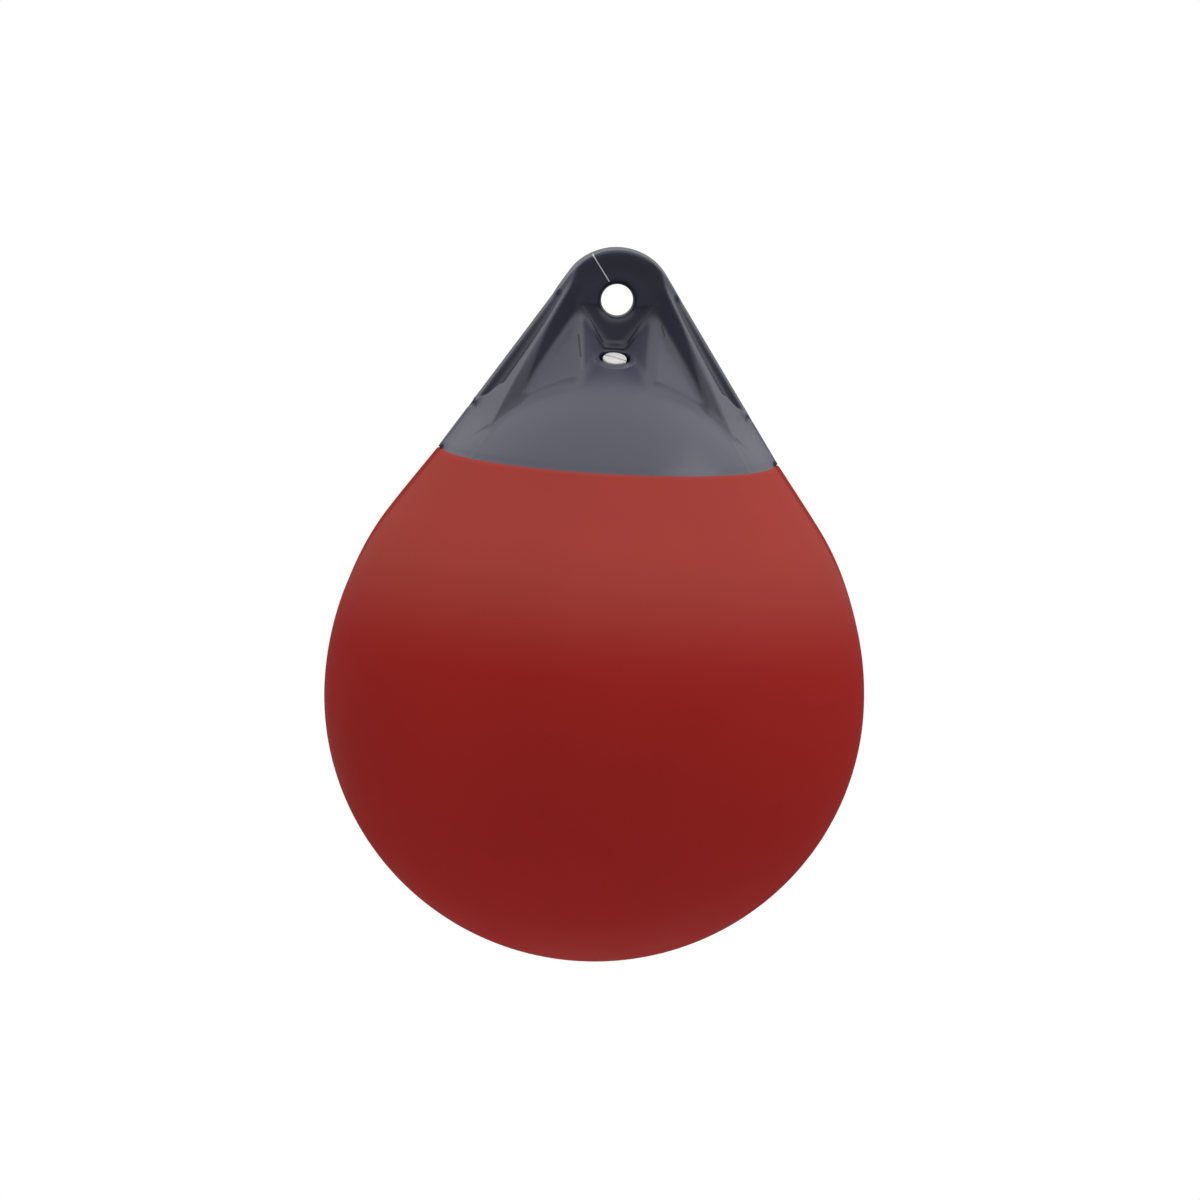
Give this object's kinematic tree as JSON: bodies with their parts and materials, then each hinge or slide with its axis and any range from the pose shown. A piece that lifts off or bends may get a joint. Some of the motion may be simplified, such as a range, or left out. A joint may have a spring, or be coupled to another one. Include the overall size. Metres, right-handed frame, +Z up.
{
  "type": "inflatable ball buoy",
  "caption": "Inflatable vinyl ball buoy, teardrop shaped, with a moulded rope hold, a rope eye at the top and a slotted valve plug.",
  "frame": {"origin": "centre of the rope eye, in the middle of the web's thickness", "axes": "+Z up along the buoy's axis, away from the ball; +Y along the rope eye, from the valve side to the back; +X towards one leg of the rope hold"},
  "size_m": [0.37, 0.37, 0.4906],
  "materials": {
    "red_vinyl": "glossy moulded vinyl",
    "navy_vinyl": "glossy moulded vinyl",
    "white_nylon": "satin nylon",
    "black_rubber": "matt rubber"
  },
  "bodies": {
    "root": {"ball_shell": "red_vinyl", "rope_hold": "navy_vinyl", "rope_hold_web": "navy_vinyl", "rope_hold_front_left": "navy_vinyl", "rope_hold_back_left": "navy_vinyl", "rope_hold_front_right": "navy_vinyl", "rope_hold_back_right": "navy_vinyl", "valve_screw": "white_nylon", "valve_seal": "black_rubber"}
  },
  "joints": []
}
